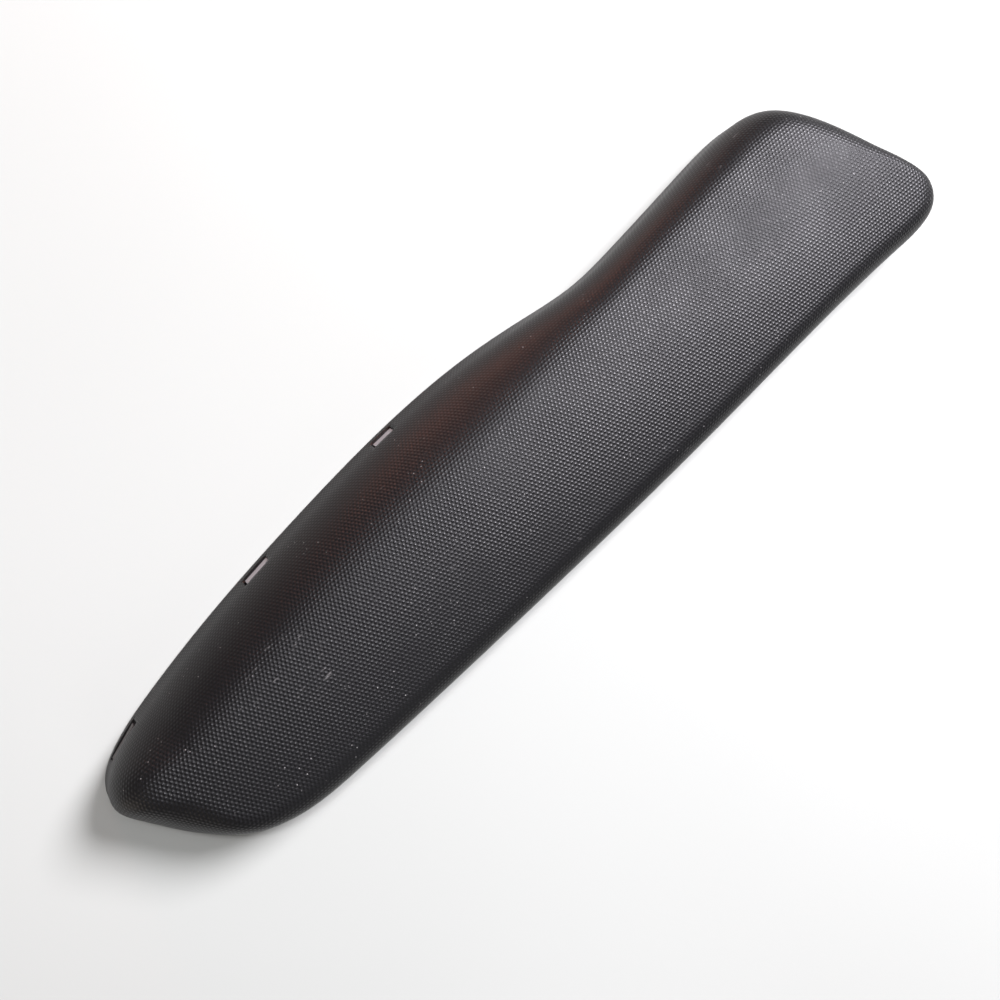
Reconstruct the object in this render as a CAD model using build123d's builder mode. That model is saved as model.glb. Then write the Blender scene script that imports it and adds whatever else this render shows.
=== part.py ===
"""Chair armrest pad: a moulded skin over foam on a ribbed carrier, closed below by a clipped and screwed panel.

Frame: +X towards the blunt end, +Y towards the S-curved edge, +Z up.  The underside lies on Z = 0 and
the origin is the middle of the four threaded inserts that bolt the pad to the arm of a chair.
"""
from build123d import *
from math import hypot, pi, sin, sqrt
import os

os.makedirs("parts", exist_ok=True)

# ---- overall size ----
pad_length = 350.0
pad_width = 78.0
pad_height = 28.0

# ---- rim of the pad seen from above: shares of the length and of the width, straight edge first ----
rim_shape = [
    (0.429, -0.428), (0.171, -0.455), (-0.114, -0.471), (-0.309, -0.460), (-0.371, -0.432),
    (-0.417, -0.345), (-0.461, -0.187), (-0.486, -0.002), (-0.494, 0.098), (-0.487, 0.180),
    (-0.457, 0.271), (-0.400, 0.345), (-0.314, 0.418), (-0.200, 0.483), (-0.057, 0.529),
    (0.023, 0.520), (0.091, 0.483), (0.157, 0.446), (0.217, 0.459), (0.314, 0.503),
    (0.374, 0.523), (0.414, 0.492), (0.437, 0.396), (0.474, 0.038), (0.497, -0.192),
    (0.501, -0.300), (0.491, -0.384), (0.469, -0.422),
]
rim = [(pad_length * along, pad_width * across) for along, across in rim_shape]

# ---- crown and rolled edges: (draft, width of the roll, height of the roll) for each side ----
spine_y = 2.0
spine_end_gap = 38.0
spine_bend_x = -40.0
spine_nose_shift = 6.0
spine_margin = 3.0
crown_radius = 150.0
roll_power = 2.6
straight_edge = (0.03, 8.5, 9.0)
curved_edge_nose_half = (0.40, 22.0, 20.0)
curved_edge_blunt_half = (0.10, 13.0, 15.0)
nose_edge = (0.26, 13.0, 14.0)
blunt_edge = (0.04, 11.0, 10.0)
change_start_x = -20.0
change_end_x = 70.0

# ---- skin ----
skin_wall = 2.2
foam_clearance = 1.5

# ---- base panel ----
panel_thickness = 2.5
panel_gap = 0.4
upstand_gap = 1.9
upstand_wall = 1.8
upstand_top = 7.4

# ---- inserts that take the mounting bolts ----
bolt_pitch_x = 150.0
bolt_pitch_y = 36.0
bolt_tap_diameter = 5.0
insert_diameter = 8.0
insert_length = 10.0
insert_groove_depth = 0.5
insert_groove_width = 2.0
bolt_run_out = 2.0
insert_boss_diameter = insert_diameter + 6.0
boss_clearance = 0.4

# ---- carrier: its plate starts level with the tops of the inserts ----
carrier_bottom = insert_length
carrier_plate = bolt_run_out + 1.0
carrier_gap = 1.4
rib_wall = 1.8
rib_depth = 4.4
rib_pitch = 25.0
rib_edge_inset = 12.0

# ---- screws that hold the panel to the carrier ----
screw_row_shares = (-0.29, 0.0, 0.377)
screw_offset_share = 0.2
screw_shank_diameter = 3.4
pilot_run_out = 0.3
screw_hole_clearance = 0.25
screw_tip_cover = 1.2
screw_tip = 1.4
screw_head_diameter = 6.8
screw_head_height = 2.4
screw_head_round = 0.9
screw_drive_size = 3.6
screw_drive_slot = 0.9
screw_drive_depth = 1.3
screw_head_clearance = 0.5
screw_seat = 2.8
cup_wall = 2.0
cup_top = 5.0
pillar_diameter = 8.0
screw_length = carrier_bottom + carrier_plate - screw_seat - screw_tip_cover
screw_rows_x = [pad_length * share for share in screw_row_shares]
screw_offset_y = pad_width * screw_offset_share

# ---- clips that hold the skirt of the skin to the panel ----
clip_shares = [  # place as a share of the pad's length, clip length, side (+1 curved edge, -1 straight)
    (-0.446, 12.0, 1), (-0.26, 10.0, 1), (-0.09, 8.0, 1),
    (-0.297, 10.0, -1), (-0.103, 10.0, -1), (0.103, 10.0, -1), (0.297, 10.0, -1),
]
clip_places = [(pad_length * share, length, side) for share, length, side in clip_shares]
clip_grip = 6.0
clip_leg = 1.1
clip_play = 0.25
clip_leg_bottom = 3.1
clip_barb_bottom = 3.4
clip_barb_top = 6.6
clip_barb_recess = 0.5
clip_barb_slope = 0.8
window_clearance = 0.5
window_cut_depth = 6 * skin_wall


def spine_place(x):
    """Point of the spine abreast of x.  At the nose the spine bends towards the straight edge."""
    reach = pad_length / 2 - spine_end_gap
    along = max(-reach, min(reach, x))
    share = max(0.0, (spine_bend_x - along) / (spine_bend_x + reach))
    return along, spine_y - spine_nose_shift * share * share * (3 - 2 * share)


def inward(x, y):
    """Direction from a rim point to the spine, and the distance between them."""
    spine_x, spine_side = spine_place(x)
    dx = spine_x - x
    dy = spine_side - y
    distance = hypot(dx, dy)
    return dx / distance, dy / distance, distance


def edge_style(x, y):
    """Draft and roll at a rim point: the named sides mixed by how far the rim faces each of them.

    The roll is narrowed smoothly where it would reach the spine.
    """
    ux, uy, distance = inward(x, y)
    share = max(0.0, min(1.0, (x - change_start_x) / (change_end_x - change_start_x)))
    share = share * share * (3 - 2 * share)
    curved = [a + (b - a) * share for a, b in zip(curved_edge_nose_half, curved_edge_blunt_half)]
    across = curved if uy < 0 else straight_edge
    along = nose_edge if ux > 0 else blunt_edge
    draft, roll_width, roll_height = [ux * ux * a + uy * uy * b for a, b in zip(along, across)]
    room = distance - draft * pad_height - spine_margin
    return draft, roll_width * room / (roll_width ** 4 + room ** 4) ** 0.25, roll_height


def roll_inset(style, gap, height):
    """Inset of the flank and roll at a height, before the crown is taken off.

    A roll power over two flattens the quarter ellipse where it meets the top, so that no crease shows.
    """
    draft, roll_width, roll_height = style
    start = pad_height - roll_height
    inset = gap + draft * height
    if height > start:
        rise = min(1.0, (height - start) / (roll_height - gap))
        inset += (roll_width - gap) * (1 - (1 - rise * rise) ** (1 / roll_power))
    return inset


def surface_inset(x, y, gap, height):
    """Inset from the rim, towards the spine, of the surface that lies `gap` under the skin's outside."""
    style = edge_style(x, y)
    _, uy, distance = inward(x, y)
    top = pad_height - gap

    def crowned(flat_height):
        off_spine = (distance - roll_inset(style, gap, flat_height)) * uy
        return flat_height * (1 - off_spine * off_spine / (2 * crown_radius * top))

    if height >= crowned(top):
        half_width = sqrt(2 * crown_radius * max(0.0, top - height))
        return distance - half_width / abs(uy)
    low, high = 0.0, top
    for _ in range(40):
        middle = (low + high) / 2
        if crowned(middle) < height:
            low = middle
        else:
            high = middle
    return roll_inset(style, gap, low)


def section_points(gap, height):
    """Closed outline of the pad at a height, as points for a periodic spline."""
    points = []
    for x, y in rim:
        ux, uy, _ = inward(x, y)
        inset = surface_inset(x, y, gap, height)
        points.append((x + ux * inset, y + uy * inset))
    return points


def pad_slice(gap, heights):
    """Solid between the heights that lies `gap` inside the outside of the pad."""
    with BuildPart() as body:
        for height in heights:
            with BuildSketch(Plane.XY.offset(height)):
                with BuildLine():
                    Spline(*section_points(gap, height), periodic=True)
                make_face()
        loft(ruled=True)
    return body.part


def pad_heights(gap, bottom, steps=12, cap_drop=0.2):
    """Heights of the loft's sections, closer together towards the top."""
    top = pad_height - gap - cap_drop
    return [bottom + (top - bottom) * sin(pi / 2 * step / steps) for step in range(steps + 1)]


def flank_frame(x, side):
    """Vertical plane across the upstand at x: X points inward, Y up, origin on its outer face at Z = 0.

    Also gives how far the flank leans inward per unit of height, the distance out to the rim and the
    distance in to the upstand's inner face.
    """
    def outline(gap, height):
        points = [Vector(*point, height) for point in section_points(gap, height)]
        return Edge.make_spline(points, periodic=True)

    def place(height):
        curve = outline(upstand_inset, height)
        steps = 400
        spots = [step / steps for step in range(steps)]
        spots = [spot for spot in spots if ((curve @ spot).Y - spine_y) * side > 0]
        low = min(spots, key=lambda spot: abs((curve @ spot).X - x)) - 1 / steps
        high = low + 2 / steps
        rising = (curve @ high).X > (curve @ low).X
        for _ in range(40):
            middle = (low + high) / 2
            if ((curve @ middle).X < x) == rising:
                low = middle
            else:
                high = middle
        return curve @ low, curve % low

    point, tangent = place(0.0)
    raised, _ = place(upstand_top)
    across = Vector(-tangent.Y, tangent.X, 0).normalized()
    if across.Y * side > 0:
        across = -across
    lean = (raised - point).dot(across) / upstand_top
    plane = Plane(origin=(point.X, point.Y, 0), x_dir=across, z_dir=across.cross(Vector(0, 0, 1)))
    to_rim = outline(0, 0).distance_to(Vertex(point))
    to_inner_face = outline(upstand_inset + upstand_wall, 0).distance_to(Vertex(point))
    return plane, lean, to_rim, to_inner_face


upstand_inset = skin_wall + upstand_gap
clip_frames = [flank_frame(x, side) for x, _, side in clip_places]
bolt_places = [(x * bolt_pitch_x / 2, y * bolt_pitch_y / 2) for x in (-1, 1) for y in (-1, 1)]
screw_places = [(x, spine_y + y * screw_offset_y) for x in screw_rows_x for y in (-1, 1)]

# ---- skin: outside less inside, with a window for each clip ----
with BuildPart() as cover_skin:
    add(pad_slice(0, pad_heights(0, 0.0)))
    add(pad_slice(skin_wall, pad_heights(skin_wall, -1.0)), mode=Mode.SUBTRACT)
    for (_, length, _), (plane, _, to_rim, _) in zip(clip_places, clip_frames):
        with BuildSketch(plane):
            with Locations((-to_rim, (clip_barb_top + clip_barb_bottom) / 2)):
                Rectangle(window_cut_depth, clip_barb_top - clip_barb_bottom + 2 * window_clearance)
        extrude(amount=length / 2 + window_clearance, both=True, mode=Mode.SUBTRACT)
cover_skin.part.label = "cover_skin"
export_step(cover_skin.part, "parts/cover_skin.step")

# ---- foam between the skin and the carrier ----
foam_bottom = carrier_bottom + carrier_plate
foam_inset = skin_wall + foam_clearance
with BuildPart() as foam_pad:
    lowest = foam_bottom + foam_clearance
    foam_heights = [height for height in pad_heights(foam_inset, -1.0) if height > lowest]
    add(pad_slice(foam_inset, [foam_bottom, *foam_heights]))
foam_pad.part.label = "foam_pad"
export_step(foam_pad.part, "parts/foam_pad.step")

# ---- carrier: plate, ribs, bosses for the inserts and pillars for the screws ----
rib_bottom = carrier_bottom - rib_depth
with BuildPart() as rib_field:
    with BuildSketch(Plane.XY.offset(rib_bottom)):
        rib_count = int(pad_length / rib_pitch)
        with GridLocations(rib_pitch, 1, rib_count, 1):
            Rectangle(rib_wall, pad_width)
        with Locations((0, spine_y)):
            with GridLocations(1, screw_offset_y, 1, 3):
                Rectangle(pad_length, rib_wall)
    extrude(amount=carrier_bottom - rib_bottom)
    with BuildSketch(Plane.XY.offset(rib_bottom)):
        with BuildLine():
            Spline(*section_points(rib_edge_inset, 0), periodic=True)
        make_face()
    extrude(amount=carrier_bottom - rib_bottom, mode=Mode.INTERSECT)

with BuildPart() as carrier:
    add(pad_slice(skin_wall + carrier_gap, [carrier_bottom, foam_bottom]))
    add(rib_field.part)
    with BuildSketch(Plane.XY):
        with Locations(*bolt_places):
            Circle(insert_boss_diameter / 2)
    extrude(amount=carrier_bottom + carrier_plate / 2)
    with BuildSketch(Plane.XY.offset(cup_top)):
        with Locations(*screw_places):
            Circle(pillar_diameter / 2)
    extrude(amount=carrier_bottom + carrier_plate / 2 - cup_top)
    with BuildSketch(Plane.XY):
        with Locations(*bolt_places):
            Circle(insert_diameter / 2)
    extrude(amount=insert_length, mode=Mode.SUBTRACT)
    with BuildSketch(Plane.XY):
        with Locations(*bolt_places):
            Circle(bolt_tap_diameter / 2)
    extrude(amount=insert_length + bolt_run_out, mode=Mode.SUBTRACT)
    with BuildSketch(Plane.XY.offset(cup_top)):
        with Locations(*screw_places):
            Circle(screw_shank_diameter / 2)
    extrude(amount=screw_seat + screw_length + pilot_run_out - cup_top, mode=Mode.SUBTRACT)
carrier.part.label = "carrier"
export_step(carrier.part, "parts/carrier.step")

# ---- base panel: plate, upstand that the clips grip, cups for the screws, holes for the bosses ----
with BuildPart() as base_panel:
    add(pad_slice(skin_wall + panel_gap, [0.0, panel_thickness]))
    upstand_heights = [panel_thickness / 2, upstand_top / 2, upstand_top]
    add(pad_slice(upstand_inset, upstand_heights))
    hollow_heights = [panel_thickness, upstand_top / 2, upstand_top + 1]
    add(pad_slice(upstand_inset + upstand_wall, hollow_heights), mode=Mode.SUBTRACT)
    with BuildSketch(Plane.XY):
        with Locations(*screw_places):
            Circle(screw_head_diameter / 2 + screw_head_clearance + cup_wall)
    extrude(amount=cup_top)
    with BuildSketch(Plane.XY):
        with Locations(*screw_places):
            Circle(screw_head_diameter / 2 + screw_head_clearance)
    extrude(amount=screw_seat, mode=Mode.SUBTRACT)
    with BuildSketch(Plane.XY):
        with Locations(*screw_places):
            Circle(screw_shank_diameter / 2 + screw_hole_clearance)
        with Locations(*bolt_places):
            Circle(insert_boss_diameter / 2 + boss_clearance)
    extrude(amount=upstand_top, mode=Mode.SUBTRACT)
base_panel.part.label = "base_panel"
export_step(base_panel.part, "parts/base_panel.step")

# ---- threaded inserts, flush with the underside ----
for number, (x, y) in enumerate(bolt_places, start=1):
    with BuildPart() as threaded_insert:
        with BuildSketch(Plane((x, y, 0))):
            Circle(insert_diameter / 2)
        extrude(amount=insert_length)
        with BuildSketch(Plane((x, y, (insert_length - insert_groove_width) / 2))):
            Circle(insert_diameter / 2)
            Circle(insert_diameter / 2 - insert_groove_depth, mode=Mode.SUBTRACT)
        extrude(amount=insert_groove_width, mode=Mode.SUBTRACT)
        with BuildSketch(Plane((x, y, 0))):
            Circle(bolt_tap_diameter / 2)
        extrude(amount=insert_length, mode=Mode.SUBTRACT)
    threaded_insert.part.label = f"threaded_insert_{number}"
    export_step(threaded_insert.part, f"parts/threaded_insert_{number}.step")

# ---- panel screws: pan head with a cross recess, seated in the cups ----
for number, (x, y) in enumerate(screw_places, start=1):
    with BuildPart() as panel_screw:
        with BuildSketch(Plane((x, y, screw_seat - screw_head_height))):
            Circle(screw_head_diameter / 2)
        extrude(amount=screw_head_height)
        fillet(panel_screw.edges().filter_by(GeomType.CIRCLE).sort_by(Axis.Z)[0], screw_head_round)
        with BuildSketch(Plane((x, y, screw_seat))):
            Circle(screw_shank_diameter / 2)
        extrude(amount=screw_length)
        tip_edge = panel_screw.edges().filter_by(GeomType.CIRCLE).sort_by(Axis.Z)[-1]
        chamfer(tip_edge, screw_tip / 2, screw_tip / 2)
        with BuildSketch(Plane((x, y, screw_seat - screw_head_height))):
            Rectangle(screw_drive_size, screw_drive_slot)
            Rectangle(screw_drive_slot, screw_drive_size)
        extrude(amount=screw_drive_depth, mode=Mode.SUBTRACT)
    panel_screw.part.label = f"panel_screw_{number}"
    export_step(panel_screw.part, f"parts/panel_screw_{number}.step")

# ---- clips: a hairpin over the upstand, with a barb that fills the window in the skirt ----
def leaning(lean, *corners):
    """Corners (inset, height) of a profile, leaned with the flank."""
    return [(inset + lean * height, height) for inset, height in corners]


clip_top = upstand_top + clip_leg
for number, (place, flank) in enumerate(zip(clip_places, clip_frames), start=1):
    _, length, _ = place
    plane, lean, to_rim, to_inner_face = flank
    outer = -clip_play
    inner = to_inner_face + clip_play
    barb_face = clip_barb_recess - to_rim
    hairpin = leaning(
        lean, (outer, clip_leg_bottom), (outer, upstand_top), (inner, upstand_top), (inner, clip_leg_bottom),
        (inner + clip_leg, clip_leg_bottom), (inner + clip_leg, clip_top),
        (outer - clip_leg, clip_top), (outer - clip_leg, clip_leg_bottom),
    )
    barb = leaning(
        lean, (outer - clip_leg / 2, clip_barb_bottom), (outer - clip_leg / 2, clip_barb_top),
        (barb_face + clip_barb_slope, clip_barb_top), (barb_face, clip_barb_top - clip_barb_slope),
        (barb_face, clip_barb_bottom),
    )

    with BuildPart() as skin_clip:
        with BuildSketch(plane):
            with BuildLine():
                Polyline(*hairpin, close=True)
            make_face()
        extrude(amount=clip_grip / 2, both=True)
        with BuildSketch(plane):
            with BuildLine():
                Polyline(*barb, close=True)
            make_face()
        extrude(amount=length / 2, both=True)
    skin_clip.part.label = f"skin_clip_{number}"
    export_step(skin_clip.part, f"parts/skin_clip_{number}.step")
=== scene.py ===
import bpy
import numpy as np
from mathutils import Matrix, Vector


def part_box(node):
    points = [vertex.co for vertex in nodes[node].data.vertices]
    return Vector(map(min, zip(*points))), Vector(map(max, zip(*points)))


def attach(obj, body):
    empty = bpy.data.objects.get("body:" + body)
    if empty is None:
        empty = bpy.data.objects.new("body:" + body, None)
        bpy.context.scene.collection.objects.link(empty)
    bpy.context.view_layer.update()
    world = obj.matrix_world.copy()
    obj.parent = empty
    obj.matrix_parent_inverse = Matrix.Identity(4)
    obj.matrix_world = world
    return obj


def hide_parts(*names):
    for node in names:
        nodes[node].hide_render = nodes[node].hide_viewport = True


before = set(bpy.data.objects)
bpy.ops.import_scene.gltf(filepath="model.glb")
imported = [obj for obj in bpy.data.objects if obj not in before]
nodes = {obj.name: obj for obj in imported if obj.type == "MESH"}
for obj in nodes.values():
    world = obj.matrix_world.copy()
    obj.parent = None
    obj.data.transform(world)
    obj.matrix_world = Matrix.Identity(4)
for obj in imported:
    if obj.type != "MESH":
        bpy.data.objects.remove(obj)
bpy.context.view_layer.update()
mm = 0.001
print("armrest pad: frame loaded,", len(nodes), "nodes")

# The armrest pad lies on its base panel: nose at -X, blunt end at +X, S-curved edge at +Y, top at +Z.
# Lengths are in millimetres, apart from the studio's, which are in metres.

pad = {
    "length": 350.0,
    "width": 78.0,
    "height": 28.0,
    "wall": 2.2,               # thickness of the moulded skin
    "spineY": 2.0,             # the crown is highest along this line
    "spineEndGap": 38.0,       # from the spine's ends to the pad's ends
    "spineBendX": -40.0,       # from here to the nose the spine bends towards the straight edge
    "spineNoseShift": 6.0,
    "spineMargin": 3.0,        # the rolls stay about this far off the spine
    "crownRadius": 150.0,
    "rollPower": 2.6,          # over two, so that the roll leaves the top without a crease
    "straightEdge": (0.03, 8.5, 9.0),       # each edge: draft, width of the roll, height of the roll
    "curvedNoseHalf": (0.40, 22.0, 20.0),
    "curvedBluntHalf": (0.10, 13.0, 15.0),
    "noseEdge": (0.26, 13.0, 14.0),
    "bluntEdge": (0.04, 11.0, 10.0),
    "changeX": (-20.0, 70.0),  # the curved edge turns from one style to the other between these
    "rimShape": [              # shares of length and width, straight edge first
        (0.429, -0.428), (0.171, -0.455), (-0.114, -0.471), (-0.309, -0.460), (-0.371, -0.432),
        (-0.417, -0.345), (-0.461, -0.187), (-0.486, -0.002), (-0.494, 0.098), (-0.487, 0.180),
        (-0.457, 0.271), (-0.400, 0.345), (-0.314, 0.418), (-0.200, 0.483), (-0.057, 0.529),
        (0.023, 0.520), (0.091, 0.483), (0.157, 0.446), (0.217, 0.459), (0.314, 0.503),
        (0.374, 0.523), (0.414, 0.492), (0.437, 0.396), (0.474, 0.038), (0.497, -0.192),
        (0.501, -0.300), (0.491, -0.384), (0.469, -0.422),
    ],
}


def closedCurve(points, perSpan):
    # A cubic of the chord length on each span, its slope and bend carried over from span to span.
    here = np.asarray(points, float)
    ahead = np.roll(here, -1, 0)
    span = np.linalg.norm(ahead - here, axis=1)
    before = np.roll(span, 1)
    i = np.arange(len(here))
    matrix = np.zeros((len(here), len(here)))
    matrix[i, i] = 2 * (before + span)
    matrix[i, (i + 1) % len(here)] = span
    matrix[i, i - 1] = before
    slope = (ahead - here) / span[:, None]
    bend = np.linalg.solve(matrix, 6 * (slope - np.roll(slope, 1, 0)))
    t = (np.arange(perSpan) / perSpan)[None, :, None]
    a = 1 - t
    curve = a * here[:, None] + t * ahead[:, None] + (span[:, None, None] ** 2 / 6) * (
        (a ** 3 - a) * bend[:, None] + (t ** 3 - t) * np.roll(bend, -1, 0)[:, None])
    return curve.reshape(-1, 2)


rim = closedCurve(np.array(pad["rimShape"]) * (pad["length"], pad["width"]), 80)
reach = pad["length"] / 2 - pad["spineEndGap"]
spineY = pad["spineY"]


def spineAt(x):
    # Y of the spine: straight, then an S-shaped ease across to the nose.
    share = np.clip((pad["spineBendX"] - x) / (pad["spineBendX"] + reach), 0, 1)
    return spineY - pad["spineNoseShift"] * share * share * (3 - 2 * share)


def rimAcross(x, side):
    # Y of the rim on one long edge, where the rim is a single-valued curve of x.
    samples = rim[(rim[:, 1] - spineY) * side > 0]
    samples = samples[np.argsort(samples[:, 0])]
    return np.interp(x, samples[:, 0], samples[:, 1])


def rimAround(angle, end):
    # Rim point seen from the end of the spine in a direction, measured from the +X axis.
    middle = np.array([end * reach, spineAt(end * reach)])
    local = rim - middle
    turn = np.arctan2(local[:, 1], local[:, 0])
    turn = turn % (2 * np.pi) if end < 0 else turn
    order = np.argsort(turn)
    radius = np.interp(angle, turn[order], np.hypot(*local.T)[order])
    return middle + radius[:, None] * np.stack([np.cos(angle), np.sin(angle)], 1)


# One window in the skirt for each clip: share of the length, length of the clip's barb, side of the pad.
windows = {
    "places": [
        (-0.446, 12.0, 1), (-0.26, 10.0, 1), (-0.09, 8.0, 1),
        (-0.297, 10.0, -1), (-0.103, 10.0, -1), (0.103, 10.0, -1), (0.297, 10.0, -1),
    ],
    "low": 2.9,
    "high": 7.1,
    "clearance": 0.5,
    "noseClearance": 1.2,      # the nose window is cut towards the spine's end, so it needs more
    "clipInset": 4.1,          # from the rim to the clip's own place
}


def windowEnds(share, length, side):
    # The two rim points, a given way along the rim from the point squarely outside the clip.
    x = share * pad["length"]
    step = 0.5
    rise = (rimAcross(x + step, side) - rimAcross(x - step, side)) / (2 * step)
    x = x - side * windows["clipInset"] * rise / np.hypot(1, rise)
    gap = windows["noseClearance"] if abs(x) > reach else windows["clearance"]
    run = (length / 2 + gap) / np.hypot(1, rise)
    return x - run, x + run


windowSpans = [(side, *windowEnds(share, length, side)) for share, length, side in windows["places"]]

mesh = {
    "columnStep": 1.5,         # along the rim
    "endColumns": 96,          # round each end
    "rollRings": 30,
    "topRings": 30,
    "innerRollRings": 16,
    "innerTopRings": 10,
    "hemRound": 0.6,
}


def splitEvenly(stops, step):
    # Points along a line that include every stop and lie about a step apart.
    stops = np.unique(np.round(stops, 3))
    parts = [np.linspace(a, b, max(1, int(np.ceil((b - a) / step))) + 1)[:-1] for a, b in zip(stops, stops[1:])]
    return np.append(np.concatenate(parts), stops[-1])


def columnPlaces():
    # Rim point and spine point of every column, anticlockwise from the straight edge's nose end.
    sideStops = [x for _, a, b in windowSpans for x in (a, b) if abs(x) < reach]
    x = splitEvenly([-reach, reach, *sideStops], mesh["columnStep"])
    quarter = np.pi / 2
    noseStops = []
    for side, a, b in windowSpans:
        if abs((a + b) / 2) > reach:
            y = rimAcross(np.array([a, b]), side)
            noseStops += list(np.arctan2(y - spineAt(-reach), np.array([a, b]) + reach))
    blunt = splitEvenly([-quarter, quarter], np.pi / mesh["endColumns"])[1:-1]
    nose = splitEvenly([quarter, 3 * quarter, *noseStops], np.pi / mesh["endColumns"])[1:-1]
    straightRim = np.stack([x, rimAcross(x, -1)], 1)
    curvedRim = np.stack([x, rimAcross(x, 1)], 1)[::-1]
    place = np.concatenate([straightRim, rimAround(blunt, 1), curvedRim, rimAround(nose, -1)])
    n = len(x)
    spine = np.concatenate([np.arange(n), np.full(len(blunt), n - 1), np.arange(n)[::-1], np.zeros(len(nose), int)])
    target = np.stack([x[spine], spineAt(x[spine])], 1)
    return place, target, spine, x


place, target, spineIndex, spineX = columnPlaces()
away = place - target
distance = np.linalg.norm(away, axis=1)
outward = away / distance[:, None]


def edgeStyles():
    # Draft and roll at each column: the named edges mixed by how far the rim faces each of them,
    # and the roll narrowed smoothly, by a fourth-power mean, where it would reach the spine.
    low, high = pad["changeX"]
    share = np.clip((place[:, 0] - low) / (high - low), 0, 1)[:, None]
    share = share * share * (3 - 2 * share)
    curved = np.array(pad["curvedNoseHalf"]) * (1 - share) + np.array(pad["curvedBluntHalf"]) * share
    across = np.where(outward[:, 1:] > 0, curved, pad["straightEdge"])
    along = np.where(outward[:, :1] < 0, pad["noseEdge"], pad["bluntEdge"])
    mixed = outward[:, :1] ** 2 * along + outward[:, 1:] ** 2 * across
    room = distance - mixed[:, 0] * pad["height"] - pad["spineMargin"]
    mixed[:, 1] *= room / (mixed[:, 1] ** 4 + room ** 4) ** 0.25
    return mixed


styles = edgeStyles()


def rollInset(h, gap):
    # Inset of flank and roll at a height: the draft, then a quarter of a superellipse to the shoulder.
    draft, rollWidth, rollHeight = styles[:, 0:1], styles[:, 1:2], styles[:, 2:3]
    rise = np.clip((h - (pad["height"] - rollHeight)) / (rollHeight - gap), 0, 1)
    return gap + draft * h + (rollWidth - gap) * (1 - (1 - rise ** 2) ** (1 / pad["rollPower"]))


def crownShare(inset, gap):
    # What is left of a height after the crown, a circle's sagitta in the distance across the spine.
    offSpine = (distance[:, None] - inset) * outward[:, 1:]
    return 1 - offSpine ** 2 / (2 * pad["crownRadius"] * (pad["height"] - gap))


def profileRings(gap, rows, rollSteps, topSteps):
    # Inset and height of a surface that lies a gap under the outside, from the hem to the spine:
    # set heights up the skirt, then a sine over the roll, then even steps across the top.
    top = pad["height"] - gap
    rows = np.array(rows)[None, :] + np.zeros((len(place), 1))
    h = rows
    for _ in range(20):
        h = rows / crownShare(rollInset(h, gap), gap)
    along = np.arange(1, rollSteps + 1) / rollSteps
    roll = h[:, -1:] + (top - h[:, -1:]) * np.sin(np.pi / 2 * along)
    h = np.concatenate([h, roll], 1)
    inset = rollInset(h, gap)
    across = np.arange(1, topSteps + 1) / topSteps
    topInset = inset[:, -1:] + (distance[:, None] - inset[:, -1:]) * across
    inset = np.concatenate([inset, topInset], 1)
    h = np.concatenate([h, np.full(topInset.shape, top)], 1)
    return inset, h * crownShare(inset, gap)


def fromSpine(inset, z):
    # Arc length from the spine to each ring: the running sum of the hypotenuses of the steps.
    step = np.hypot(np.diff(inset, axis=1), np.diff(z, axis=1))
    back = np.cumsum(step[:, ::-1], axis=1)[:, ::-1]
    return np.concatenate([back, np.zeros((len(inset), 1))], 1)


def placed(inset, z):
    # Rim point less the inset along the line to the spine, at its height.
    xy = place[:, None] - outward[:, None] * inset[:, :, None]
    return np.concatenate([xy, z[:, :, None]], 2)


def flatGrid(first, rings):
    # Vertex numbers of a closed grid whose last ring is the shared spine line.
    columns = len(place)
    grid = first + np.arange(columns * (rings - 1)).reshape(columns, rings - 1)
    spineStart = first + columns * (rings - 1)
    return np.concatenate([grid, (spineStart + spineIndex)[:, None]], 1), spineStart + len(spineX)


def gridFaces(grid, hole=None):
    # Quads with their outward side away from the spine. Those at the spine's ends become triangles.
    ahead = np.roll(grid, -1, 0)
    quads = np.stack([grid[:, :-1], ahead[:, :-1], ahead[:, 1:], grid[:, 1:]], 2)
    quads = quads.reshape(-1, 4) if hole is None else quads[~hole]
    thin = quads[:, 2] == quads[:, 3]
    return quads[~thin], quads[thin][:, :3]


def buildMesh(name, points, quads, tris, quadMaps=None, triMaps=None):
    data = bpy.data.meshes.new(name)
    data.from_pydata((points * mm).tolist(), [], quads.tolist() + tris.tolist())
    if quadMaps is not None:
        layer = data.uv_layers.new(name="OFBake")
        flat = np.concatenate([quadMaps.reshape(-1, 2), triMaps.reshape(-1, 2)])
        layer.data.foreach_set("uv", flat.astype(np.float32).ravel())
    data.polygons.foreach_set("use_smooth", np.ones(len(data.polygons), bool))
    data.validate()
    data.update()
    piece = bpy.data.objects.new(name, data)
    bpy.context.scene.collection.objects.link(piece)
    return piece


def pointValues(piece, name, values):
    layer = piece.data.attributes.new(name, "FLOAT", "POINT")
    layer.data.foreach_set("value", np.asarray(values, np.float32))


def smoothStep(value, low, high):
    t = np.clip((value - low) / (high - low), 0, 1)
    return t * t * (3 - 2 * t)


skin = {
    "rows": [1.2, 2.0, 2.9, 3.6, 4.3, 5.0, 5.7, 6.4, 7.1, 8.0, 9.0, 10.0],
    "mapSpan": 400.0,          # side of the square that the flattened skin is laid in
    "mapMiddleY": 70.0,
    "innerMapMiddleY": 210.0,
    "jambMapY": 300.0,
    "grainFrom": 0.60,         # the grain is faintest where the surface is this level, as a cosine
    "grainFull": 0.90,
    "grainLeast": 0.40,
}


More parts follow.
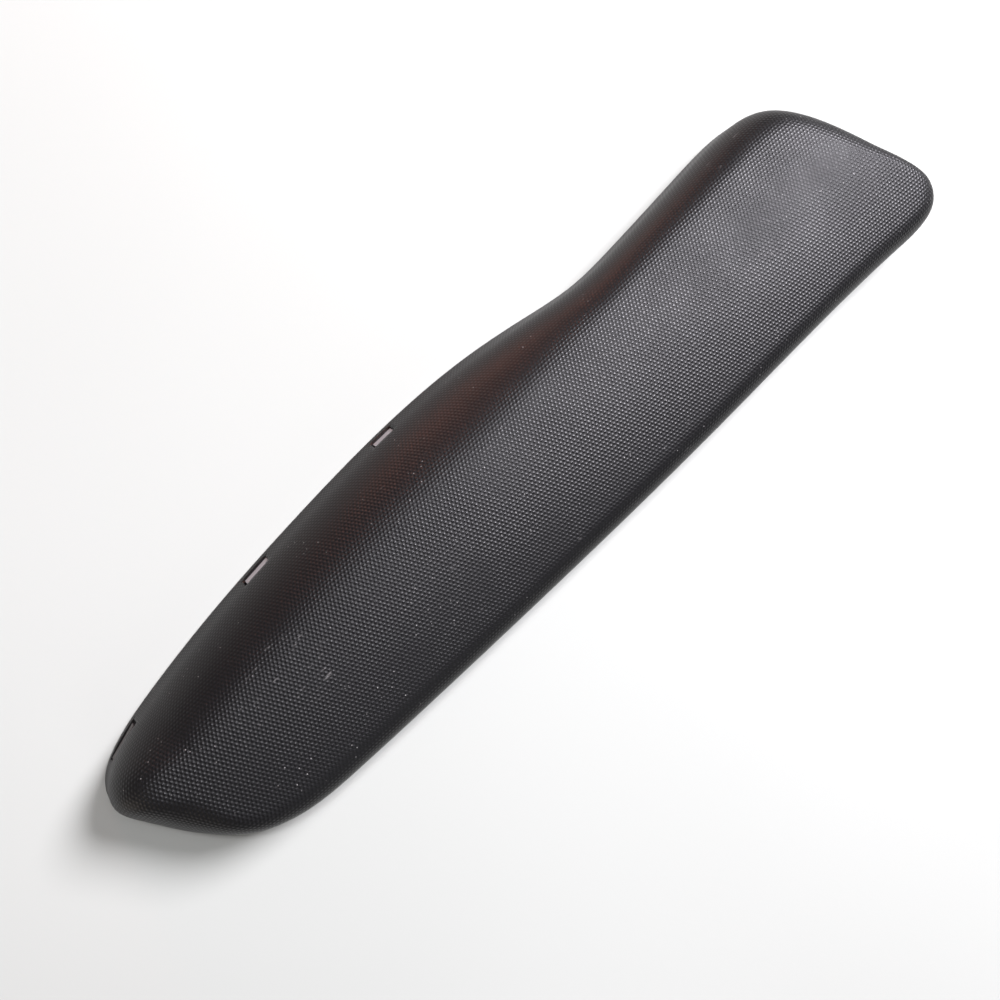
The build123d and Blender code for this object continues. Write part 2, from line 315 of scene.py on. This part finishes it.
def windowHoles(rows):
    # True for every face of the skirt that lies in a window.
    columns = np.arange(len(place))
    middle = (place + np.roll(place, -1, 0)) / 2
    heights = (rows[:-1] + rows[1:]) / 2
    level = (heights > windows["low"]) & (heights < windows["high"])
    hole = np.zeros((len(columns), len(heights)), bool)
    for side, low, high in windowSpans:
        within = (middle[:, 0] > low) & (middle[:, 0] < high) & ((middle[:, 1] - spineY) * side > 0)
        hole |= within[:, None] & level[None, :]
    return hole


def makeSkin():
    # Outer and inner walls on the same columns, a rounded hem between them, and jambs round each window.
    roundAngle = np.radians([0, 30, 60, 90])
    hemZ = mesh["hemRound"] * (1 - np.cos(roundAngle))
    hemIn = mesh["hemRound"] * (1 - np.sin(roundAngle))
    rows = np.concatenate([hemZ, skin["rows"]])
    extra = np.concatenate([hemIn, np.zeros(len(skin["rows"]))])
    outerIn, outerZ = profileRings(0.0, rows, mesh["rollRings"], mesh["topRings"])
    innerIn, innerZ = profileRings(pad["wall"], rows, mesh["innerRollRings"], mesh["innerTopRings"])
    outerIn[:, :len(rows)] += extra
    innerIn[:, :len(rows)] -= extra
    outerArc, innerArc = fromSpine(outerIn, outerZ), fromSpine(innerIn, innerZ)

    outerGrid, innerStart = flatGrid(0, outerIn.shape[1])
    innerGrid, total = flatGrid(innerStart, innerIn.shape[1])
    points = np.zeros((total, 3))
    points[outerGrid] = placed(outerIn, outerZ)
    points[innerGrid] = placed(innerIn, innerZ)

    def flattened(arc, middleY):
        # The skin peeled off and laid flat: out from the spine by the arc length.
        flat = target[:, None] + outward[:, None] * arc[:, :, None]
        return (flat - (0, spineY) + (skin["mapSpan"] / 2, middleY)) / skin["mapSpan"]

    maps = np.zeros((total, 2))
    maps[outerGrid] = flattened(outerArc, skin["mapMiddleY"])
    maps[innerGrid] = flattened(innerArc, skin["innerMapMiddleY"])

    def holeIn(grid):
        hole = np.zeros((len(place), grid.shape[1] - 1), bool)
        hole[:, :len(rows) - 1] = windowHoles(rows)
        return hole

    outerQuads, outerTris = gridFaces(outerGrid, holeIn(outerGrid))
    innerQuads, innerTris = gridFaces(innerGrid, holeIn(innerGrid))
    innerQuads, innerTris = innerQuads[:, ::-1], innerTris[:, ::-1]

    # the flat of the hem, mapped as if the outer wall went on
    ahead = np.roll(outerGrid[:, 0], -1), np.roll(innerGrid[:, 0], -1)
    hem = np.stack([outerGrid[:, 0], innerGrid[:, 0], ahead[1], ahead[0]], 1)
    hemWidth = innerIn[:, :1] - outerIn[:, :1]
    hemFar = flattened(outerArc[:, :1] + hemWidth, skin["mapMiddleY"])[:, 0]
    hemNear = maps[outerGrid[:, 0]]
    hemMaps = np.stack([hemNear, hemFar, np.roll(hemFar, -1, 0), np.roll(hemNear, -1, 0)], 1)

    # jambs: wherever a missing face meets one that is there
    hole = windowHoles(rows)
    o, i = outerGrid, innerGrid
    before = hole & ~np.roll(hole, 1, 0)
    after = hole & ~np.roll(hole, -1, 0)
    below = hole & ~np.roll(hole, 1, 1)
    above = hole & ~np.roll(hole, -1, 1)
    jambs = []
    c, k = np.nonzero(before)
    jambs.append(np.stack([o[c, k], i[c, k], i[c, k + 1], o[c, k + 1]], 1))
    c, k = np.nonzero(after)
    c = (c + 1) % len(place)
    jambs.append(np.stack([o[c, k], o[c, k + 1], i[c, k + 1], i[c, k]], 1))
    c, k = np.nonzero(below)
    n = (c + 1) % len(place)
    jambs.append(np.stack([o[c, k], o[n, k], i[n, k], i[c, k]], 1))
    c, k = np.nonzero(above)
    n = (c + 1) % len(place)
    jambs.append(np.stack([o[c, k + 1], i[c, k + 1], i[n, k + 1], o[n, k + 1]], 1))
    jambs = np.concatenate(jambs)
    cell = skin["mapSpan"] / (len(jambs) + 1)
    corner = np.array([(0, 0), (0.8, 0), (0.8, 2), (0, 2)]) * cell
    start = np.stack([np.arange(len(jambs)) * cell, np.full(len(jambs), skin["jambMapY"])], 1)
    jambMaps = (start[:, None] + corner) / skin["mapSpan"]

    quads = np.concatenate([outerQuads, innerQuads, hem, jambs])
    quadMaps = np.concatenate([maps[outerQuads], maps[innerQuads], hemMaps, jambMaps])
    tris = np.concatenate([outerTris, innerTris])
    piece = buildMesh("coverSkin", points, quads, tris, quadMaps, maps[tris])

    # how much of the moulded grain is left: full on top, drawn flatter down the flanks
    level = -np.diff(outerIn, axis=1) / np.diff(outerArc, axis=1)
    level = np.concatenate([level, level[:, -1:]], 1)
    left = np.zeros(total)
    least = skin["grainLeast"]
    left[outerGrid] = least + (1 - least) * smoothStep(np.abs(level), skin["grainFrom"], skin["grainFull"])
    pointValues(piece, "grain", left)
    return piece


coverSkin = makeSkin()
print("cover skin:", len(coverSkin.data.polygons), "faces")

foam = {
    "gap": 3.7,                # from the skin's outside to the foam
    "rollRings": 24,
    "topRings": 16,
    "floorRings": 14,
    "mapMiddleY": 70.0,
    "floorMapMiddleY": 210.0,
}


def makeFoam():
    # A block under the skin: the skin's own profile, further in, closed by a flat floor on the carrier.
    low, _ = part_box("foam_pad")
    bottom = low.z / mm
    sideIn, sideZ = profileRings(foam["gap"], [bottom, bottom + 0.8], foam["rollRings"], foam["topRings"])
    grid, floorStart = flatGrid(0, sideIn.shape[1])
    share = np.arange(1, foam["floorRings"] + 1) / foam["floorRings"]
    floorIn = sideIn[:, :1] + (distance[:, None] - sideIn[:, :1]) * share
    inner, total = flatGrid(floorStart, floorIn.shape[1])
    points = np.zeros((total, 3))
    points[grid] = placed(sideIn, sideZ)
    points[inner] = placed(floorIn, np.full(floorIn.shape, bottom))
    sideQuads, sideTris = gridFaces(grid)
    floorQuads, floorTris = gridFaces(np.concatenate([grid[:, :1], inner], 1))
    quads = np.concatenate([sideQuads, floorQuads[:, ::-1]])
    tris = np.concatenate([sideTris, floorTris[:, ::-1]])
    return buildMesh("foamCore", points, quads, tris)


foamCore = makeFoam()
print("foam core:", len(foamCore.data.polygons), "faces")


class Shader:
    # A material with its Principled shader, and short ways to add nodes to it.
    def __init__(self, name):
        self.material = bpy.data.materials.new(name)
        self.material.use_nodes = True
        self.tree = self.material.node_tree
        self.tree.nodes.clear()
        self.principled = self.tree.nodes.new("ShaderNodeBsdfPrincipled")
        output = self.tree.nodes.new("ShaderNodeOutputMaterial")
        self.tree.links.new(self.principled.outputs["BSDF"], output.inputs["Surface"])

    def feed(self, socket, value):
        if isinstance(value, bpy.types.NodeSocket):
            self.tree.links.new(value, socket)
        else:
            socket.default_value = value

    def node(self, kind, settings=None, **values):
        made = self.tree.nodes.new("ShaderNode" + kind)
        for key, value in (settings or {}).items():
            setattr(made, key, value)
        for key, value in values.items():
            self.feed(made.inputs[key.replace("_", " ")], value)
        return made

    def math(self, operation, a, b=0.0):
        made = self.node("Math", {"operation": operation})
        self.feed(made.inputs[0], a)
        self.feed(made.inputs[1], b)
        return made.outputs[0]

    def remap(self, value, low, high, toLow=0.0, toHigh=1.0):
        made = self.node("MapRange", {"interpolation_type": "SMOOTHSTEP"}, Value=value)
        for key, number in (("From Min", low), ("From Max", high), ("To Min", toLow), ("To Max", toHigh)):
            made.inputs[key].default_value = number
        return made.outputs["Result"]

    def mix(self, share, a, b):
        made = self.node("Mix", {"data_type": "RGBA"})
        self.feed(made.inputs["Factor"], share)
        self.feed(made.inputs[6], a)
        self.feed(made.inputs[7], b)
        return made.outputs[2]

    def noise(self, where, scale, detail=2.0, roughness=0.5):
        made = self.node("TexNoise", Vector=where, Scale=scale, Detail=detail, Roughness=roughness)
        return made.outputs["Fac"]

    def objectPlace(self, scale=(1000.0, 1000.0, 1000.0)):
        # object coordinates in millimetres, stretched if asked
        where = self.node("TexCoord").outputs["Object"]
        return self.node("Mapping", Vector=where, Scale=scale).outputs["Vector"]

    def bump(self, height, distance, strength=1.0, normal=None):
        made = self.node("Bump", Height=height, Distance=distance, Strength=strength)
        if normal is not None:
            self.feed(made.inputs["Normal"], normal)
        return made.outputs["Normal"]

    def finish(self, **values):
        for key, value in values.items():
            self.feed(self.principled.inputs[key.replace("_", " ")], value)
        return self.material


grain = {
    "pitch": 1.37,             # between the raised dots, which stand in rows sixty degrees apart
    "height": 0.15,
    "wander": 0.16,            # how far a dot strays from its place
    "skinColour": (0.0021, 0.0020, 0.0023, 1),
    # the pit colour is painted shade: the skin coloured darker between the raised dots
    "pitShadeColour": (0.0007, 0.0007, 0.0008, 1),
    # the dot colour is a painted highlight: the raised dots coloured lighter than the skin
    "dotHighlightColour": (0.0052, 0.0050, 0.0057, 1),
    "warmColour": (0.0036, 0.0029, 0.0027, 1),
    "dustColour": (0.30, 0.29, 0.28, 1),
    "satinRoughness": 0.42,
    "dotRoughness": 0.30,
    "pitRoughness": 0.55,
}


def skinMaterial():
    # Black moulded skin: rows of small raised dots on top that fade to satin over the shoulders.
    s = Shader("mouldedSkin")
    span = skin["mapSpan"]
    flat = s.node("UVMap", {"uv_map": "OFBake"}).outputs["UV"]
    where = s.node("Mapping", Vector=flat, Scale=(span, span, 1.0)).outputs["Vector"]
    stray = s.node("TexNoise", Vector=where, Scale=0.7, Detail=1.0)
    centred = s.node("VectorMath", {"operation": "SUBTRACT"})
    s.feed(centred.inputs[0], stray.outputs["Color"])
    centred.inputs[1].default_value = (0.5, 0.5, 0.5)
    strayed = s.node("VectorMath", {"operation": "MULTIPLY_ADD"})
    s.feed(strayed.inputs[0], centred.outputs[0])
    strayed.inputs[1].default_value = (2 * grain["wander"], 2 * grain["wander"], 0.0)
    s.feed(strayed.inputs[2], where)
    waves = []
    turns = 4 * np.pi / (np.sqrt(3) * grain["pitch"])
    for angle in np.radians([30, 90, 150]):
        along = s.node("VectorMath", {"operation": "DOT_PRODUCT"})
        s.feed(along.inputs[0], strayed.outputs[0])
        along.inputs[1].default_value = (turns * np.cos(angle), turns * np.sin(angle), 0.0)
        waves.append(s.math("COSINE", along.outputs["Value"]))
    total = s.math("ADD", s.math("ADD", waves[0], waves[1]), waves[2])
    dots = s.math("DIVIDE", s.math("ADD", total, 1.5), 4.5)

    fade = s.node("Attribute", {"attribute_name": "grain"}).outputs["Fac"]
    wear = s.remap(s.noise(where, 0.045, 3.0), 0.35, 0.7, 1.0, 0.72)   # flatter where arms have rubbed
    dotShare = s.math("MULTIPLY", s.math("MULTIPLY", dots, fade), wear)
    cloudy = s.noise(where, 0.03, 3.0)
    fine = s.noise(where, 5.0, 2.0, 0.6)
    scuffPlace = s.node("Mapping", Vector=where, Rotation=(0, 0, 0.5), Scale=(0.12, 0.45, 1.0)).outputs["Vector"]
    scratched = s.remap(s.noise(scuffPlace, 1.0, 5.0, 0.75), 0.60, 0.72)
    scuff = s.math("MULTIPLY", scratched, s.remap(s.noise(where, 0.022, 1.0), 0.56, 0.64))
    speck = s.node("TexVoronoi", Vector=where, Scale=0.38, Randomness=1.0)
    speckSize = s.remap(speck.outputs["Distance"], 0.085, 0.045)
    speckShare = s.math("MULTIPLY", speckSize, s.remap(s.noise(where, 0.06, 2.0), 0.46, 0.58))

    base = s.mix(s.remap(cloudy, 0.3, 0.7), grain["skinColour"], grain["warmColour"])
    # painted shade: where the grain is full the skin takes the darker pit colour
    pitShaded = s.mix(fade, base, grain["pitShadeColour"])
    # painted highlight: the raised dots take the lighter dot colour
    dotHighlighted = s.mix(s.math("MULTIPLY", s.math("POWER", dots, 1.4), fade), pitShaded, grain["dotHighlightColour"])
    scuffed = s.mix(s.math("MULTIPLY", scuff, 0.25), dotHighlighted, grain["dustColour"])
    dusty = s.mix(s.math("MULTIPLY", speckShare, 0.5), scuffed, grain["dustColour"])

    satin = s.remap(fine, 0.3, 0.7, grain["satinRoughness"] - 0.04, grain["satinRoughness"] + 0.06)
    rough = s.remap(dots, 0.1, 0.8, grain["pitRoughness"], grain["dotRoughness"])
    plainShare = s.math("SUBTRACT", 1.0, fade)
    roughMix = s.math("ADD", s.math("MULTIPLY", rough, fade), s.math("MULTIPLY", satin, plainShare))
    rougher = s.math("ADD", roughMix, s.math("MULTIPLY", scuff, 0.12))

    raised = s.bump(dotShare, grain["height"] * mm)
    skinFine = s.bump(fine, 0.012 * mm, 1.0, raised)
    return s.finish(Base_Color=dusty, Roughness=rougher, Normal=skinFine, Specular_IOR_Level=0.21)


def foamMaterial():
    # Charcoal polyurethane foam: open cells of two sizes.
    s = Shader("cellFoam")
    where = s.objectPlace()
    coarse = s.node("TexVoronoi", {"feature": "SMOOTH_F1"}, Vector=where, Scale=1.1).outputs["Distance"]
    fineCell = s.node("TexVoronoi", Vector=where, Scale=2.6).outputs["Distance"]
    cells = s.math("ADD", s.math("MULTIPLY", coarse, 0.65), s.math("MULTIPLY", fineCell, 0.35))
    colour = s.mix(s.remap(cells, 0.1, 0.6), (0.035, 0.034, 0.034, 1), (0.11, 0.108, 0.105, 1))
    aged = s.mix(s.remap(s.noise(where, 0.02, 3.0), 0.4, 0.7), colour, (0.13, 0.12, 0.10, 1))
    return s.finish(Base_Color=aged, Roughness=s.remap(cells, 0.0, 1.0, 0.95, 0.82),
                    Normal=s.bump(cells, 0.35 * mm), Specular_IOR_Level=0.2)


def mouldedPlastic(name, colour, paler, grainSize, depth, roughness):
    # Injection-moulded plastic: fine spark-eroded grain, slow flow marks and a little shop dust.
    s = Shader(name)
    where = s.objectPlace()
    grainNoise = s.noise(where, grainSize, 3.0, 0.6)
    flow = s.noise(s.objectPlace((12.0, 60.0, 60.0)), 1.0, 3.0)
    colourMix = s.mix(s.remap(flow, 0.3, 0.75), colour, paler)
    dust = s.remap(s.noise(where, 0.35, 5.0, 0.7), 0.62, 0.8)
    dusty = s.mix(s.math("MULTIPLY", dust, 0.22), colourMix, (0.22, 0.21, 0.20, 1))
    rough = s.math("ADD", s.remap(grainNoise, 0.3, 0.7, roughness - 0.05, roughness + 0.08),
                   s.math("MULTIPLY", dust, 0.15))
    return s.finish(Base_Color=dusty, Roughness=rough, Normal=s.bump(grainNoise, depth * mm))


def metalFinish(name, colour, darker, roughness, brushed=False):
    # Plated or turned metal: colour drifts slowly, with fine tool marks and darker spots of age.
    s = Shader(name)
    where = s.objectPlace()
    marks = s.noise(s.objectPlace((900.0, 900.0, 12000.0) if brushed else (1000.0,) * 3), 1.6, 3.0, 0.7)
    age = s.remap(s.noise(where, 0.9, 4.0, 0.6), 0.5, 0.72)
    colourMix = s.mix(s.math("MULTIPLY", age, 0.6), colour, darker)
    rough = s.math("ADD", s.remap(marks, 0.3, 0.7, roughness - 0.07, roughness + 0.1), s.math("MULTIPLY", age, 0.2))
    return s.finish(Base_Color=colourMix, Metallic=1.0, Roughness=rough, Normal=s.bump(marks, 0.01 * mm))


finishes = {
    "carrier": mouldedPlastic("carrierPlastic", (0.020, 0.020, 0.021, 1), (0.030, 0.030, 0.031, 1), 3.0, 0.02, 0.48),
    "panel": mouldedPlastic("panelPlastic", (0.016, 0.016, 0.017, 1), (0.026, 0.025, 0.026, 1), 2.2, 0.05, 0.52),
    "clip": mouldedPlastic("clipAcetal", (0.15, 0.145, 0.15, 1), (0.19, 0.185, 0.19, 1), 4.0, 0.012, 0.40),
    # a darker copy of the clip finish: painted shade for the nose clip
    "clipPaintedShade": mouldedPlastic("acetalPaintedShade", (0.020, 0.018, 0.017, 1), (0.028, 0.025, 0.024, 1), 4.0, 0.012, 0.5),
    "insert": metalFinish("turnedBrass", (0.78, 0.56, 0.25, 1), (0.42, 0.27, 0.11, 1), 0.30, True),
    "screw": metalFinish("zincPlate", (0.62, 0.63, 0.65, 1), (0.30, 0.29, 0.28, 1), 0.34),
}
slotOfNode = {
    "carrier": "carrier",
    "base_panel": "panel",
    "skin_clip": "clip",
    "skin_clip_1": "clipPaintedShade",       # painted shade: the nose clip gets a darker copy of the clip finish, as its window lies in shadow
    "threaded_insert": "insert",
    "panel_screw": "screw",
}


def paint(piece, material):
    piece.data.materials.clear()
    piece.data.materials.append(material)


for name, node in nodes.items():
    for stem, slotName in slotOfNode.items():
        if name.startswith(stem):
            paint(node, finishes[slotName])
print("finishes on the carried-over nodes")

paint(coverSkin, skinMaterial())
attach(coverSkin, "root")
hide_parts("cover_skin")

paint(foamCore, foamMaterial())
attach(foamCore, "root")
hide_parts("foam_pad")


studio = {
    "floorSize": 6.0,
    "floorColour": (0.262, 0.270, 0.252, 1),
    "paleFloorColour": (0.275, 0.283, 0.265, 1),
    "worldColour": (1.0, 1.0, 1.0, 1),
    "worldStrength": 0.03,
    "lights": [                # name, place, size, power, colour
        ("farSoftbox", (0.98, 0.03, 1.02), 0.62, 76.0, (1.0, 0.97, 1.05)),
        ("overheadSoftbox", (0.30, 0.06, 1.30), 0.5, 5.0, (1.0, 0.97, 1.05)),
        ("shoulderStrip", (0.05, 0.27, 1.10), 0.14, 9.0, (1.0, 0.98, 1.03)),
        ("roomNose", (-1.5, 0.12, 0.32), 0.9, 6.0, (1.0, 0.86, 0.74)),
        ("roomStraight", (-0.5, -1.8, 1.1), 1.2, 8.0, (0.97, 0.98, 1.0)),
        ("warmWall", (0.16, 0.75, 0.10), 0.22, 2.2, (1.0, 0.38, 0.26)),
    ],
}


def makeStudio():
    half = studio["floorSize"] / 2
    corners = [(-half, -half, 0), (half, -half, 0), (half, half, 0), (-half, half, 0)]
    data = bpy.data.meshes.new("floor")
    data.from_pydata(corners, [], [(0, 1, 2, 3)])
    floor = bpy.data.objects.new("floor", data)
    bpy.context.scene.collection.objects.link(floor)
    paper = Shader("paperFloor")
    tone = paper.noise(paper.node("TexCoord").outputs["Object"], 3.0, 2.0)
    colour = paper.mix(paper.remap(tone, 0.3, 0.7), studio["floorColour"], studio["paleFloorColour"])
    floor.data.materials.append(paper.finish(Base_Color=colour, Roughness=0.95, Specular_IOR_Level=0.1))

    world = bpy.data.worlds.new("studioAir")
    bpy.context.scene.world = world
    world.use_nodes = True
    background = world.node_tree.nodes["Background"]
    background.inputs["Color"].default_value = studio["worldColour"]
    background.inputs["Strength"].default_value = studio["worldStrength"]

    for name, spot, size, power, colour in studio["lights"]:
        lamp = bpy.data.lights.new(name, "AREA")
        lamp.shape = "DISK"
        lamp.size = size
        lamp.energy = power
        lamp.color = colour
        lampObject = bpy.data.objects.new(name, lamp)
        lampObject.location = spot
        lampObject.rotation_mode = "QUATERNION"
        lampObject.rotation_quaternion = Vector(spot).to_track_quat("Z", "Y")
        bpy.context.scene.collection.objects.link(lampObject)


camera = {
    "lens": 34.38,             # on a 36 mm sensor
    "place": (-69.8, 21.27, 323.76),
    "looking": (0.1655, -0.0773, -0.9832),
    "up": (0.6657, 0.7443, 0.0535),
}


def makeCamera():
    data = bpy.data.cameras.new("studioCamera")
    data.lens = camera["lens"]
    data.sensor_width = 36.0
    data.clip_start, data.clip_end = 0.01, 20.0
    made = bpy.data.objects.new("studioCamera", data)
    back = -Vector(camera["looking"]).normalized()
    right = Vector(camera["up"]).cross(back).normalized()
    up = back.cross(right)
    turned = Matrix((right, up, back)).transposed().to_4x4()
    made.matrix_world = Matrix.Translation(Vector(camera["place"]) * mm) @ turned
    bpy.context.scene.collection.objects.link(made)
    bpy.context.scene.camera = made


makeStudio()
makeCamera()
bpy.context.scene.view_settings.view_transform = "Standard"
print("studio ready")
